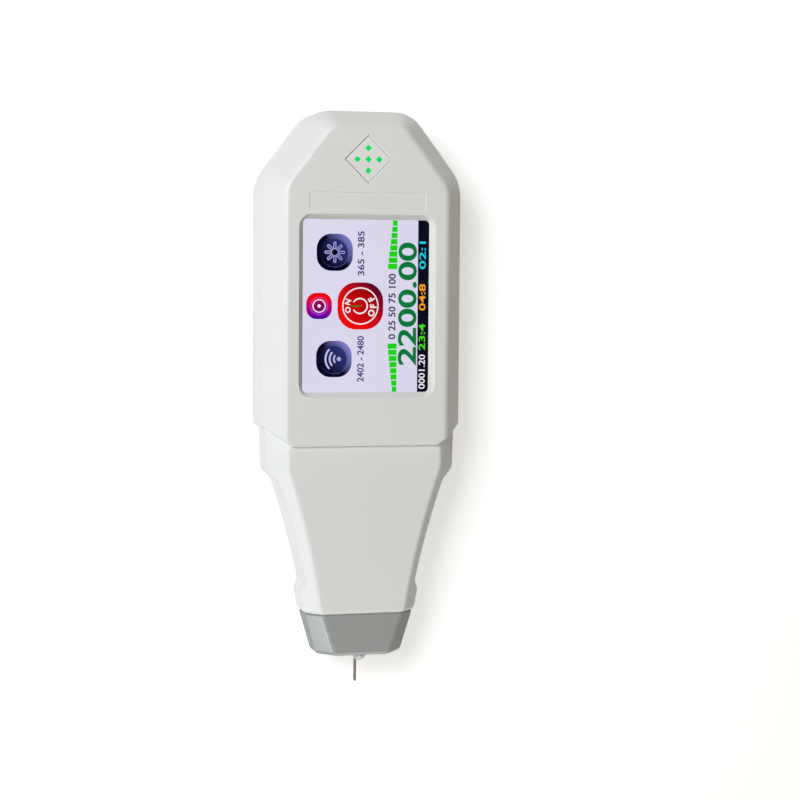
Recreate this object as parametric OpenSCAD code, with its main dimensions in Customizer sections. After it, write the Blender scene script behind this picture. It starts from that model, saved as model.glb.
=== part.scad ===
// Hand-held diamond tester with a touch screen, lying on its back.
// Millimetres. +Z comes out of the screen, +Y runs to the top end, the needle points to -Y.

/* [Lengths] */
// Top end of the head to the display's upper end
head_edge = 25.65; // [25:0.05:30]
// Display's lower end to the step under the head
foot_edge = 9.95; // [9.6:0.05:14]
// Step to the seam of the tip cap
nose_len = 48.8; // [46:0.1:60]
// Seam to the end of the tip cap
cap_len = 12.5; // [12:0.1:16]
// Needle standing out of the tip cap
probe_reach = 9.2; // [6:0.1:12]

/* [Head] */
// Width of the head
head_w = 58.8; // [58:0.1:66]
// Thickness of the head
body_t = 26; // [26:0.1:30]
// Half width of the flat top end
top_half = 14.2; // [13:0.1:17]
// Fall of the shoulders from the top end
shoulder_drop = 20; // [17:0.1:21]
// Half width of the flat foot at the step
foot_half = 21.4; // [20:0.1:23]
// Rise of the clipped corners at the foot
clip_rise = 5.8; // [3:0.1:8]
// Plan radius of the foot's corners
foot_r = 0.8; // [0.5:0.1:1.2]
// Plan radius where a clipped corner meets the side
clip_r = 1; // [0.5:0.1:2]
// Plan radius where shoulder and side meet
shoulder_r = 13; // [8:0.5:14]
// Plan radius where shoulder and top end meet
crown_r = 9.5; // [7:0.5:10]
// Width of the front bevel
bevel_run = 5.6; // [4.5:0.1:6]
// Depth of the front bevel
bevel_drop = 6.7; // [5.5:0.1:7]
// Width of the front bevel at the top end
top_bevel_run = 4.4; // [3.5:0.1:5.5]
// Width of the rear bevel
rear_bevel_run = 3.4; // [2.5:0.1:3.6]
// Depth of the rear bevel
rear_bevel_drop = 4.1; // [3:0.1:5]
// Radius along the edge of the front face
front_r = 2.4; // [1.5:0.1:3]
// Radius between bevel and side wall
side_r = 3; // [2:0.1:3.5]
// Radius along the front edge of the step
step_r = 0.8; // [0.5:0.1:1]

/* [Nose] */
// Drop of the nose below the front of the head
step_depth = 1.5; // [1:0.1:2]
// Straight neck under the step
neck_len = 6.4; // [5:0.1:8]
// Half width of the nose's front face at the neck
neck_half = 22.6; // [21:0.1:23.4]
// Half width of the nose's front face at the cap
nose_end_half = 12.4; // [12.2:0.1:13]
// Inward bow of the nose's front edges
nose_sag = 1; // [0.4:0.1:1.5]
// Width of the nose's bevel at the neck
neck_run = 5.4; // [4.8:0.1:5.4]
// Width of the nose's bevel at the cap
nose_end_run = 4.2; // [4:0.1:4.6]
// Half thickness of the nose at the cap
nose_end_rise = 9.7; // [9.6:0.1:10.5]
// Inward turn of the nose's rounded end
nose_lip = 0.45; // [0.3:0.05:0.6]
// Length of the nose's rounded end
nose_lip_l = 1.2; // [0.9:0.1:1.5]
// Radius between the nose's bevel and side
nose_side_r = 1; // [0.6:0.1:1.2]
// Radius along the nose's front edge
nose_front_r = 1.8; // [1:0.1:2]
// Depth of the finger scoops
scoop_depth = 2.1; // [1:0.1:2.3]
// Neck to the start of the finger scoops
scoop_gap = 0.9; // [0.5:0.1:2]
// Length of each end of a scoop
scoop_lead = 3.6; // [3:0.1:5]
// Scoops' end to the seam
scoop_rest = 5.6; // [4:0.1:8]

/* [Tip cap] */
// Half width of the cap's front face at the seam
cap_half = 12; // [11.7:0.1:12.2]
// Half width of the cap's front face at its end
cap_end_half = 7.9; // [7.4:0.1:8.4]
// Width of the cap's bevel at the seam
cap_run = 4.2; // [4:0.1:4.4]
// Width of the cap's bevel at its end
cap_end_run = 4.8; // [4.2:0.1:5]
// Half thickness of the cap at the seam
cap_rise = 9.4; // [9.3:0.1:9.6]
// Half thickness of the cap at its end
cap_end_rise = 8.9; // [8.8:0.1:9.2]
// Radius of the cap's end edge
cap_edge = 1.3; // [1:0.1:1.7]
// Shadow line between the nose and the cap
seam_gap = 0.35; // [0.25:0.05:0.5]
// Depth of the shadow line
shadow_depth = 0.8; // [0.6:0.1:1]
// Side wall of the cap
cap_wall = 1.6; // [1.2:0.1:1.7]
// End wall of the cap
cap_floor = 1.8; // [1.5:0.1:2.2]
// Length of the spigot that the cap slides over
spigot_len = 4; // [3:0.1:5]
// Wall of the spigot
spigot_wall = 1.4; // [1.2:0.1:1.6]

/* [Covers] */
// Wall of the covers
wall = 2; // [1.6:0.1:2.2]
// Small chamfer along the parting line
seam_cut = 0.25; // [0.1:0.05:0.4]
// Play between fitted pieces
fit_gap = 0.15; // [0.1:0.05:0.2]
// Radius of the front cover's screw bosses
boss_r = 3; // [2.6:0.1:3.2]
// Radius of the rear cover's screw bosses
rear_boss_r = 4; // [3.8:0.1:4.2]
// Boss centre to the side of the head
boss_edge = 7.9; // [7.5:0.1:8.5]
// Lower bosses above the step
boss_foot = 5.6; // [5.4:0.1:6]
// Upper bosses under the top end
boss_drop = 17.8; // [17:0.1:18.5]
// Bosses of the nose beside the middle
nose_boss_x = 12; // [10:0.1:13]
// Bosses of the nose below the step
nose_boss_drop = 16; // [14:0.1:18]
// Radius of a cover screw's thread
screw_r = 1.25; // [1:0.05:1.4]
// Radius of a cover screw's head
screw_head_r = 2.3; // [2:0.1:2.4]
// Height of a screw head
screw_head_t = 1.6; // [1.2:0.1:2]
// Seat of the cover screws above the back
screw_seat = 6; // [5.5:0.1:7]
// Thread engaged in the front cover
screw_grip = 6; // [5:0.5:7]
// Half width of the ribs that clamp the probe
cradle_half = 4.6; // [4.4:0.1:5]
// Thickness of ribs
rib_t = 1.4; // [1:0.1:2]

/* [Screen] */
// Side of the head to the display
panel_edge = 8.05; // [7.6:0.05:9]
// Height of the display and its touch panel
panel_h = 60.3; // [54:0.1:68]
// Border of the display beside the picture
picture_side = 2.99; // [2.6:0.01:4]
// Border of the display above and below the picture
picture_end = 5.67; // [5:0.01:7]
// Width of the sloped rim round the picture
rim_run = 1.5; // [1.2:0.1:1.7]
// Corner radius of the rim
rim_r = 4; // [3:0.1:4.5]
// Border of picture that the opening leaves bare
picture_border = 0.2; // [0.1:0.05:0.4]
// Thickness of the display
panel_t = 2.4; // [2:0.1:2.8]
// Thickness of the touch panel
lens_t = 1.1; // [0.7:0.1:1.5]
// Thickness of the foam gasket
gasket_t = 0.4; // [0.3:0.05:0.6]
// Width of the foam gasket
gasket_w = 1.8; // [1.4:0.1:1.9]
// Wall of the display tray
tray_wall = 0.8; // [0.6:0.1:1]
// Floor of the display tray
tray_floor = 1.1; // [0.8:0.1:1.4]

/* [Light window] */
// Top end to the middle of the light window
window_drop = 14.1; // [13.5:0.1:14.5]
// Half diagonal of the light window
window_half = 6.6; // [6:0.1:7]
// Front of the light window below the front of the head
window_sink = 0.3; // [0.2:0.05:0.4]
// Slope round the light window
window_cut = 0.35; // [0.2:0.05:0.5]
// Half diagonal of a lamp's light pipe
lamp_half = 0.9; // [0.7:0.05:1]
// Spacing of the lamps
lamp_pitch = 3.2; // [2.4:0.1:3.3]
// Height of a lamp chip
lamp_t = 0.8; // [0.6:0.1:1]
// Width of the name recess
plate_w = 34.4; // [30:0.1:36]
// Height of the name recess
plate_h = 5.1; // [4:0.1:5.2]
// Depth of the name recess
plate_depth = 0.2; // [0.15:0.05:0.4]
// Screen opening's rim to the name recess
plate_gap = 1; // [0.8:0.1:1.5]

/* [Board] */
// Thickness of the board
board_t = 1.6; // [1.2:0.1:1.8]
// Display tray's side to the board's side
board_inset = 2.3; // [1.8:0.1:3]
// Board to the bosses beside it
board_gap = 0.7; // [0.5:0.1:1]
// Radius of the board's bosses
board_boss_r = 2.6; // [2.4:0.1:2.8]
// Side of the processor
chip_w = 10; // [8:0.1:12]
// Height of the processor
chip_t = 1.2; // [1:0.1:1.6]
// Width of the shielding can
can_w = 16; // [14:0.1:18]
// Length of the shielding can
can_l = 12; // [10:0.1:13]
// Height of the shielding can
can_t = 2.2; // [1.8:0.1:2.8]
// Sheet of the shielding can
can_wall = 0.3; // [0.2:0.05:0.4]
// Radius of the buzzer
buzzer_r = 6; // [5:0.1:6.2]
// Height of the buzzer
buzzer_t = 4; // [3:0.1:4.2]
// Radius of a board screw's thread
board_screw_r = 0.9; // [0.8:0.05:1]
// Thread of a board screw in its boss
board_screw_grip = 3; // [2.5:0.1:3.5]

/* [Power] */
// Width of the battery
battery_w = 34; // [30:0.5:36]
// Length of the battery
battery_l = 52; // [48:0.5:54]
// Thickness of the battery
battery_t = 6.2; // [5:0.1:7]
// Foam pad under the battery
pad_t = 0.5; // [0.4:0.1:0.8]
// Width of the battery's plug
plug_w = 8; // [6:0.1:9]
// Length of the battery's plug
plug_l = 5; // [4:0.1:6]
// Height of the battery's plug
plug_t = 4.4; // [3.5:0.1:4.8]
// Width of the charging socket
socket_w = 8.94; // [8.5:0.01:9.2]
// Height of the charging socket
socket_h = 3.26; // [3:0.01:3.4]
// Depth of the charging socket
socket_l = 7.4; // [7:0.1:8]
// Length of the power button
button_l = 12; // [10:0.1:14]
// Height of the power button
button_h = 3.6; // [3.2:0.1:3.7]
// Middle of the power button above the screen's middle
button_up = 18; // [10:0.5:22]
// Press of the power button
button_travel = 0.6; // [0.4:0.05:0.7]

/* [Probe] */
// Radius of the needle
pin_r = 0.42; // [0.35:0.01:0.5]
// Radius of the probe tube
sleeve_r = 3; // [2.8:0.05:3.2]
// Bore radius of the probe tube
sleeve_bore_r = 2.1; // [2:0.05:2.2]
// Running clearance of the plunger and of the needle
run_gap = 0.08; // [0.05:0.01:0.1]
// Length of the plunger
plunger_l = 9; // [7:0.1:10]
// Length of the spring
spring_l = 16; // [14:0.1:18]
// Radius of the spring wire
wire_r = 0.22; // [0.18:0.01:0.26]
// Coils of the spring
coils = 10; // [8:1:12]
// Radius of the guide bush's flange
bush_flange_r = 2.6; // [2.4:0.1:2.7]
// Radius of the guide bush
bush_r = 2; // [1.8:0.1:2.1]
// Radius of the torch lamp's lens
torch_r = 1.9; // [1.7:0.05:2]
// Torch lamp above the needle
torch_up = 5; // [4.9:0.05:5.1]
// Torch lamp standing out of the cap
torch_out = 2; // [1.6:0.1:2.2]
// Thickness of the flanges behind the cap's end wall
flange_t = 1; // [0.8:0.1:1.2]
// Thickness of the tip board
tip_board_t = 1; // [0.8:0.1:1.2]
// Half width of the tip board
tip_board_half = 6.6; // [6:0.1:6.8]
// Radius of the leads
lead_r = 0.6; // [0.5:0.05:0.7]

/* [Hidden] */
$fn = 48;

// Steps in the arcs of the covers' plan, of their edges and of their hidden inner walls
plan_steps = 6;
edge_steps = 4;
inner_steps = 2;
// How far a cutter or a joined piece reaches past a face
over = 0.5;

// Places along the object
head_len = head_edge + panel_h + foot_edge;
screen_drop = head_edge + panel_h / 2;
total_len = head_len + nose_len + cap_len + probe_reach;
top_y = total_len / 2;
step_y = top_y - head_len;
seam_y = step_y - nose_len;
cap_y = seam_y - cap_len;
tip_y = cap_y - probe_reach;
screen_y = top_y - screen_drop;
window_y = top_y - window_drop;

// Places across the thickness
front_z = body_t;
axis_z = body_t / 2;
bevel_z = front_z - bevel_drop;
inner_z = front_z - wall;
lens_top = inner_z - gasket_t;
panel_top = lens_top - lens_t;
tray_top = panel_top - panel_t;
board_top = tray_top - tray_floor;
board_low = board_top - board_t;
battery_low = wall + pad_t;
battery_y = screen_y - 2;

// The display's width and its picture
panel_w = head_w - 2 * panel_edge;
picture_w = panel_w - 2 * picture_side;
picture_h = panel_h - 2 * picture_end;
plate_up = picture_h / 2 + picture_border + rim_run + plate_gap + plate_h / 2;

// The head's plan: half width and the outward normals of its slanted sides
head_half = head_w / 2;
shoulder_n = unit([shoulder_drop, head_half - top_half]);
clip_n = unit([clip_rise, foot_half - head_half]);
bevel_slope = bevel_drop / bevel_run;
bevel_lean = atan(bevel_slope);

// The nose's scoops and the cap's place along it
scoop_top = neck_len + scoop_gap;
scoop_end = nose_len - scoop_rest;
nose_root = clip_rise + wall + 1;
nose_lip_r = (nose_lip_l * nose_lip_l + nose_lip * nose_lip) / (2 * nose_lip);
solid_foot = [[-seam_cut, 0], [0, seam_cut]];
hollow_foot = [[-over, -1], [0, -over]];
nose_stations = concat([-nose_root, 0, neck_len],
    [for (i = [0:4]) scoop_top + scoop_lead * i / 4],
    [for (i = [1:5]) blend(scoop_top + scoop_lead, scoop_end - scoop_lead, i / 6)],
    [for (i = [4:-1:0]) scoop_end - scoop_lead * i / 4],
    [for (i = [0:3]) nose_len - nose_lip_l * (3 - i) / 3]);

// Screw places: two at the foot, two under the shoulders, two in the nose
boss_x = head_half - boss_edge;
upper_boss_y = top_y - boss_drop;
upper_boss_x = (shoulder_n * [top_half, top_y] - boss_edge - shoulder_n[1] * upper_boss_y) / shoulder_n[0];
boss_places = [for (side = [-1, 1])
    each [[side * boss_x, step_y + boss_foot], [side * upper_boss_x, upper_boss_y],
        [side * nose_boss_x, step_y - nose_boss_drop]]];

// The display stack and the board under it
tray_half_w = panel_w / 2 + fit_gap + tray_wall;
tray_half_h = panel_h / 2 + fit_gap + tray_wall;
board_half = tray_half_w - board_inset;
board_head_x = upper_boss_x - boss_r - board_gap;
board_boss_x = board_head_x - board_boss_r;
board_boss_up = tray_half_h + board_boss_r + 0.8;
board_places = [for (side = [-1, 1], end = [-1, 1])
    [side * board_boss_x, screen_y + end * board_boss_up]];
board_foot = screen_y - board_boss_up - board_boss_r - 0.4;
board_head = top_y - wall - 0.9;
can_up = -0.17 * panel_h;
plug_x = -0.35 * board_half;
plug_up = board_boss_up - board_boss_r - plug_l / 2;

// The display's flat cable, the lamps and the window's hidden flange
tail_w = 13;
tail_t = 0.3;
window_flange = 1.2;
lamp_places = [[0, 0], [lamp_pitch, 0], [-lamp_pitch, 0], [0, lamp_pitch], [0, -lamp_pitch]];

// The power key's line and the switch behind it
switch_h = 3.4;
switch_w = 3.6;
switch_l = 6;
button_z = board_low - switch_h / 2;
button_y = screen_y + button_up;
switch_face = board_half - 0.2;
plunger_out = 1.2;
plunger_w = 2.8;
plunger_h = 1.8;
key_gap = 0.3;
key_flange = 1;

// The probe's line from the cap inwards
floor_y = cap_y + cap_floor;
tip_board_y = floor_y + flange_t;
sleeve_front = tip_board_y + tip_board_t + 1.7;
sleeve_lip = 1.2;
plunger_y = sleeve_front + sleeve_lip + 0.3;
spring_y = plunger_y + plunger_l;
plug_y = spring_y + spring_l;
plug_grip = 3.5;
sleeve_end = plug_y + plug_grip;
plug_head_t = 1;
torch_z = axis_z + torch_up;
coil_r = sleeve_bore_r - wire_r - 0.3;
cradle_y = sleeve_end - 6;

// Where the probe's lead meets the board, and how far the leads hang below the parting plane
lead_x = 0.2 * board_half;
lead_y = board_foot + 1.5 * board_boss_r;
lead_dip = 0.2 * body_t;

function unit(v) = v / norm(v);

function blend(a, b, t) = a + (b - a) * t;

// A smooth rise from 0 at a to 1 at b
function ramp(x, a, b) = let (t = max(0, min(1, (x - a) / (b - a)))) t * t * (3 - 2 * t);

// The fillet of radius r that replaces corner b between a and c, in n steps
function fillet(a, b, c, r, n) =
    let (u = unit(a - b), v = unit(c - b))
    let (half = acos(u * v) / 2)
    let (middle = b + unit(u + v) * r / sin(half))
    let (start = b + u * r / tan(half) - middle, stop = b + v * r / tan(half) - middle)
    let (from = atan2(start[1], start[0]), to = atan2(stop[1], stop[0]))
    let (sweep = (to - from + 540) % 360 - 180)
    [for (i = [0:n]) middle + r * [cos(from + sweep * i / n), sin(from + sweep * i / n)]];

// A closed outline with a fillet at each of its points
function rounded(points, radii, n) =
    let (count = len(points))
    [for (i = [0:count - 1])
        each fillet(points[(i + count - 1) % count], points[i], points[(i + 1) % count], radii[i], n)];

// The same points on the other side of the middle, in reverse order
function across(points) = [for (i = [len(points) - 1:-1:0]) [-points[i][0], points[i][1]]];

// The head's plan, drawn in at the sides, the top end and the foot
function head_plan(side, top, foot, n) =
    let (x = head_half - side, high = top_y - top, low = step_y + foot)
    let (reach = shoulder_n * [top_half, top_y] - side, clip = clip_n * [foot_half, step_y] - foot)
    let (right = [
        [(clip - clip_n[1] * low) / clip_n[0], low],
        [x, (clip - clip_n[0] * x) / clip_n[1]],
        [x, (reach - shoulder_n[0] * x) / shoulder_n[1]],
        [(reach - shoulder_n[1] * high) / shoulder_n[0], high]])
    let (radii = [foot_r, clip_r, max(2, shoulder_r - side), max(2, crown_r - side)])
    rounded(concat(right, across(right)), concat(radii, [for (i = [3:-1:0]) radii[i]]), n);

// One level of the head at height z, drawn in by inset, with its foot rounded near the faces
function head_ring(inset, z, n) =
    let (near = max(0, step_r - min(z, front_z - z)))
    let (foot = step_r - sqrt(max(0, step_r * step_r - near * near)))
    [for (p = head_plan(inset, inset * top_bevel_run / bevel_run, foot, n)) [p[0], p[1], z]];

// Half of the nose's or the cap's eight-sided section, above the parting line: its rounded corners only
function facets(half, run, rise, inset, n) =
    let (w = half + run - inset, low = rise - run * bevel_slope - inset * tan(45 - bevel_lean / 2))
    let (f = half - inset * tan(bevel_lean / 2), high = rise - inset)
    let (right = concat(fillet([w, 0], [w, low], [f, high], nose_side_r, n),
        fillet([w, low], [f, high], [-f, high], nose_front_r, n)))
    concat(right, across(right));

// A half section that stands on the parting line
function half_section(half, run, rise, inset, foot, n) =
    let (top = facets(half, run, rise, inset, n), w = half + run - inset)
    concat([[w + foot[0][0], foot[0][1]], [w + foot[1][0], foot[1][1]]], top,
        [[-w - foot[1][0], foot[1][1]], [-w - foot[0][0], foot[0][1]]]);

// The section on both sides of the parting line
function full_section(half, run, rise, inset, n) =
    let (top = facets(half, run, rise, inset, n))
    concat(top, [for (i = [len(top) - 1:-1:0]) [top[i][0], -top[i][1]]]);

// Sections of the nose at a distance below the step
function nose_share(s) = max(0, (s - neck_len) / (nose_len - neck_len));
function nose_half(s) = blend(neck_half, nose_end_half, nose_share(s))
    - 4 * nose_sag * nose_share(s) * (1 - nose_share(s));
function nose_run(s) = blend(neck_run, nose_end_run, s / nose_len)
    - scoop_depth * ramp(s, scoop_top, scoop_top + scoop_lead)
    * (1 - ramp(s, scoop_end - scoop_lead, scoop_end));
function nose_inset(s) = let (d = max(0, s - nose_len + nose_lip_l))
    nose_lip_r - sqrt(nose_lip_r * nose_lip_r - d * d);
function nose_rise(s) = blend(axis_z - step_depth, nose_end_rise, s / nose_len);

// Sections of the cap at a distance below the seam
function cap_share(q) = max(0, min(1, q / cap_len));
function cap_front(q) = blend(cap_half, cap_end_half, cap_share(q));
function cap_bevel(q) = blend(cap_run, cap_end_run, cap_share(q));
function cap_thick(q) = blend(cap_rise, cap_end_rise, cap_share(q));

// A section of flat points placed across the object at y, about the parting plane
function upright(points, y) = [for (p = points) [p[0], y, axis_z + p[1]]];

// A rounded rectangle about the screen's middle at height z
function rect_ring(w, h, r, z, n) =
    let (points = [[w / 2, -h / 2], [w / 2, h / 2], [-w / 2, h / 2], [-w / 2, -h / 2]])
    [for (p = rounded(points, [r, r, r, r], n)) [p[0], screen_y + p[1], z]];

// A point on the cubic curve through four handles
function curve(h, t) = pow(1 - t, 3) * h[0] + 3 * t * pow(1 - t, 2) * h[1] + 3 * t * t * (1 - t) * h[2]
    + pow(t, 3) * h[3];

// A solid skin through rings of equal count
module loft(rings) {
    n = len(rings[0]);
    last = (len(rings) - 1) * n;
    sides = [for (k = [0:len(rings) - 2], i = [0:n - 1])
        let (a = k * n + i, b = k * n + (i + 1) % n)
        each [[a, a + n, b + n], [a, b + n, b]]];
    ends = [for (i = [1:n - 2]) each [[0, i, i + 1], [last, last + i + 1, last + i]]];
    polyhedron(points = [for (ring = rings) each ring], faces = concat(sides, ends));
}

// A round tube of n sides along a list of points
module tube(path, r, n) {
    count = len(path);
    rings = [for (i = [0:count - 1])
        let (ahead = unit(path[min(i + 1, count - 1)] - path[max(i - 1, 0)]))
        let (aside = unit(cross(ahead, abs(ahead[0]) < 0.9 ? [1, 0, 0] : [0, 1, 0])), up = cross(ahead, aside))
        [for (k = [0:n - 1]) path[i] + r * (cos(360 * k / n) * aside + sin(360 * k / n) * up)]];
    loft(rings);
}

// A flat rectangle with round corners
module plate(w, h, r) {
    square([w - 2 * r, h], center = true);
    square([w, h - 2 * r], center = true);
    for (x = [-1, 1], y = [-1, 1])
        translate([x * (w / 2 - r), y * (h / 2 - r)])
            circle(r);
}

// A cylinder along +Y from y, at height z
module along_y(y, length, r, z = axis_z) {
    translate([0, y, z])
        rotate([-90, 0, 0])
            cylinder(r = r, h = length);
}

// One half of the head, from levels of inset and height
module head_form(levels) {
    loft([for (p = levels) head_ring(p[0], p[1], plan_steps)]);
}

// The hollow of one half of the head
module head_hollow(levels) {
    ratio = top_bevel_run / bevel_run;
    loft([for (p = levels)
        [for (q = head_plan(p[0], wall + (p[0] - wall) * ratio, wall, inner_steps)) [q[0], q[1], p[1]]]]);
}

// The front half of the nose, and its hollow
module nose_form() {
    loft([for (s = nose_stations)
        upright(half_section(nose_half(s), nose_run(s), nose_rise(s), nose_inset(s), solid_foot,
            edge_steps), step_y - s)]);
}

module nose_hollow() {
    last = nose_len - wall;
    loft([for (s = concat([for (s = nose_stations) if (s < last - 1) s], [last]))
        upright(half_section(nose_half(s), nose_run(s), nose_rise(s), wall, hollow_foot, inner_steps),
            step_y - s)]);
}

// The front half of the spigot between two distances below the seam, drawn in by inset
module spigot_form(from, to, inset, foot) {
    loft([for (q = [from, to])
        upright(half_section(cap_front(spigot_len), cap_bevel(spigot_len), cap_thick(spigot_len), inset, foot,
            inner_steps), seam_y - q)]);
}

// The front half of the low ring that the cap's edge rests on
module ring_form() {
    loft([for (q = [-wall / 2, seam_gap])
        upright(half_section(cap_half, cap_run, cap_rise, shadow_depth, solid_foot, inner_steps), seam_y - q)]);
}

// The front half of the nose with its ring and spigot, and all of their hollow
module nose_half_form() {
    nose_form();
    ring_form();
    spigot_form(-wall / 2, spigot_len, cap_wall + fit_gap, solid_foot);
}

module nose_half_hollow() {
    nose_hollow();
    spigot_form(-wall - over, spigot_len + over, cap_wall + fit_gap + spigot_wall, hollow_foot);
}

// The other side of the parting plane
module flipped() {
    translate([0, 0, body_t])
        mirror([0, 0, 1])
            children();
}

// A rib across the probe tube, from the parting plane into the wall
module cradle(y, rise) {
    difference() {
        translate([-cradle_half, y - rib_t / 2, axis_z])
            cube([2 * cradle_half, rib_t, rise]);
        along_y(y - rib_t, 2 * rib_t, sleeve_r);
    }
}

module cradles() {
    cradle(seam_y - spigot_len / 2, cap_thick(spigot_len) - cap_wall - fit_gap - spigot_wall + over);
    cradle(cradle_y, nose_rise(step_y - cradle_y) - wall + over);
}

// A flat pill along X
module pill(w, h) {
    square([w - h, h], center = true);
    for (x = [-1, 1])
        translate([x * (w - h) / 2, 0])
            circle(h / 2);
}

// A square standing on its corner
module rhombus(half) {
    rotate(45)
        square(half * sqrt(2), center = true);
}

module front_cover() {
    levels = concat([[seam_cut, axis_z], [0, axis_z + seam_cut]],
        fillet([0, axis_z], [0, bevel_z], [bevel_run, front_z], side_r, edge_steps),
        fillet([0, bevel_z], [bevel_run, front_z], [3 * bevel_run, front_z], front_r, edge_steps));
    hollow = [[wall, axis_z - 1], [wall, bevel_z - wall * tan(45 - bevel_lean / 2)],
        [bevel_run + wall * tan(bevel_lean / 2), inner_z]];
    open_w = picture_w + 2 * picture_border;
    open_h = picture_h + 2 * picture_border;
    color([0.86, 0.87, 0.85]) {
        difference() {
            union() {
                head_form(levels);
                nose_half_form();
            }
            head_hollow(hollow);
            nose_half_hollow();
            // Sloped screen opening
            loft([for (p = [[inner_z - over, 0, 0.3], [inner_z, 0, 0.3], [front_z - 0.3, 0.8, 0.9],
                [front_z + over, 1.33, 1.05]])
                rect_ring(open_w + 2 * rim_run * p[1], open_h + 2 * rim_run * p[1], rim_r * p[2], p[0],
                    edge_steps)]);
            // Name recess, left bare
            translate([0, screen_y + plate_up, front_z - plate_depth])
                linear_extrude(1)
                    plate(plate_w, plate_h, 0.5);
            // Light window with a sloped edge
            translate([0, window_y, 0])
                loft([for (p = [[inner_z - over, 0], [front_z - window_cut, 0],
                    [front_z + over, window_cut + over]])
                    let (half = window_half + fit_gap + p[1])
                    [[half, 0, p[0]], [0, half, p[0]], [-half, 0, p[0]], [0, -half, p[0]]]]);
            // Mouth of the charging socket
            translate([0, top_y + over, board_low - socket_h / 2])
                rotate([90, 0, 0])
                    linear_extrude(wall + 2 * over)
                        pill(socket_w + 4 * fit_gap, socket_h + 4 * fit_gap);
            // Hole of the power button
            translate([head_half - wall - over, button_y, button_z])
                rotate([90, 0, 90])
                    linear_extrude(wall + 2 * over)
                        pill(button_l, button_h);
        }
        // Bosses of the cover screws
        for (p = boss_places)
            difference() {
                top = p[1] < step_y ? axis_z + nose_rise(nose_boss_drop) - wall : inner_z;
                translate([p[0], p[1], axis_z])
                    cylinder(r = boss_r, h = top - axis_z + 0.4);
                translate([p[0], p[1], axis_z - 1])
                    cylinder(r = screw_r + 0.05, h = screw_grip + 2);
            }
        // Bosses of the board
        for (p = board_places)
            difference() {
                translate([p[0], p[1], board_top])
                    cylinder(r = board_boss_r, h = inner_z - board_top + 0.4);
                translate([p[0], p[1], board_top - 1])
                    cylinder(r = board_screw_r + 0.05, h = board_screw_grip + 1.5);
            }
        cradles();
    }
}

module rear_cover() {
    levels = concat(
        fillet([3 * rear_bevel_run, 0], [rear_bevel_run, 0], [0, rear_bevel_drop], front_r, edge_steps),
        fillet([rear_bevel_run, 0], [0, rear_bevel_drop], [0, axis_z], side_r, edge_steps),
        [[0, axis_z - seam_cut], [seam_cut, axis_z]]);
    lean = atan(rear_bevel_drop / rear_bevel_run);
    hollow = [[rear_bevel_run + wall * tan(lean / 2), wall],
        [wall, rear_bevel_drop + wall * tan(45 - lean / 2)], [wall, axis_z + 1]];
    color([0.86, 0.87, 0.85]) {
        difference() {
            union() {
                difference() {
                    union() {
                        head_form(levels);
                        flipped()
                            nose_half_form();
                    }
                    head_hollow(hollow);
                    flipped()
                        nose_half_hollow();
                }
                for (p = boss_places) {
                    low = p[1] < step_y ? axis_z - nose_rise(nose_boss_drop) + wall : wall;
                    translate([p[0], p[1], low - 0.4])
                        cylinder(r = rear_boss_r, h = axis_z - low + 0.4);
                }
            }
            for (p = boss_places)
                translate([p[0], p[1], -1]) {
                    cylinder(r = screw_r + 0.2, h = body_t);
                    cylinder(r = screw_head_r + 0.3, h = screw_seat + 1);
                }
        }
        // Ribs round the battery
        for (side = [-1, 1])
            translate([side * (battery_w / 2 + fit_gap + rib_t / 2) - rib_t / 2, battery_y - 0.3 * battery_l,
                wall - 0.4])
                cube([rib_t, 0.6 * battery_l, battery_t]);
        for (end = [-1, 1])
            translate([-0.3 * battery_w, battery_y + end * (battery_l / 2 + fit_gap + rib_t / 2) - rib_t / 2,
                wall - 0.4])
                cube([0.6 * battery_w, rib_t, pad_t + 0.4 * battery_t]);
        flipped()
            cradles();
    }
}

module tip_cap() {
    outer = concat([[seam_gap, 0.3], [seam_gap + 0.3, 0]],
        [for (a = [0:22.5:90]) [cap_len - cap_edge + cap_edge * sin(a), cap_edge * (1 - cos(a))]]);
    color([0.6, 0.6, 0.58])
        difference() {
            loft([for (p = outer)
                upright(full_section(cap_front(p[0]), cap_bevel(p[0]), cap_thick(p[0]), p[1], edge_steps),
                    seam_y - p[0])]);
            loft([for (q = [seam_gap - over, cap_len - cap_floor])
                upright(full_section(cap_front(q), cap_bevel(q), cap_thick(q), cap_wall, inner_steps),
                    seam_y - q)]);
            along_y(cap_y - 1, cap_floor + 2, bush_r + 0.02);
            along_y(cap_y - 1, cap_floor + 2, torch_r + 0.1, torch_z);
        }
}

module touch_lens() {
    color([0.75, 0.8, 0.85, 0.4])
        translate([0, screen_y, panel_top])
            linear_extrude(lens_t)
                plate(panel_w, panel_h, 0.8);
}

module screen_gasket() {
    color([0.1, 0.1, 0.1])
        translate([0, screen_y, lens_top])
            linear_extrude(gasket_t)
                difference() {
                    plate(picture_w + 2 * picture_border + 2 * gasket_w + 0.6,
                        picture_h + 2 * picture_border + 2 * gasket_w + 0.6, 0.8);
                    plate(picture_w + 2 * picture_border + 0.6, picture_h + 2 * picture_border + 0.6, 0.5);
                }
}

module lcd_panel() {
    color([0.2, 0.22, 0.3])
        translate([0, screen_y, tray_top])
            linear_extrude(panel_t)
                plate(panel_w, panel_h, 0.8);
}

module lcd_tray() {
    color([0.25, 0.25, 0.26])
        difference() {
            translate([0, screen_y, board_top])
                linear_extrude(lens_top - board_top - 0.4)
                    plate(2 * tray_half_w, 2 * tray_half_h, 1.6);
            translate([0, screen_y, tray_top])
                linear_extrude(body_t)
                    plate(panel_w + 2 * fit_gap, panel_h + 2 * fit_gap, 0.9);
            // Way out for the display's flat cable
            translate([-tail_w / 2 - 0.5, screen_y - tray_half_h - 1, tray_top])
                cube([tail_w + 1, 3, body_t]);
        }
}

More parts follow.
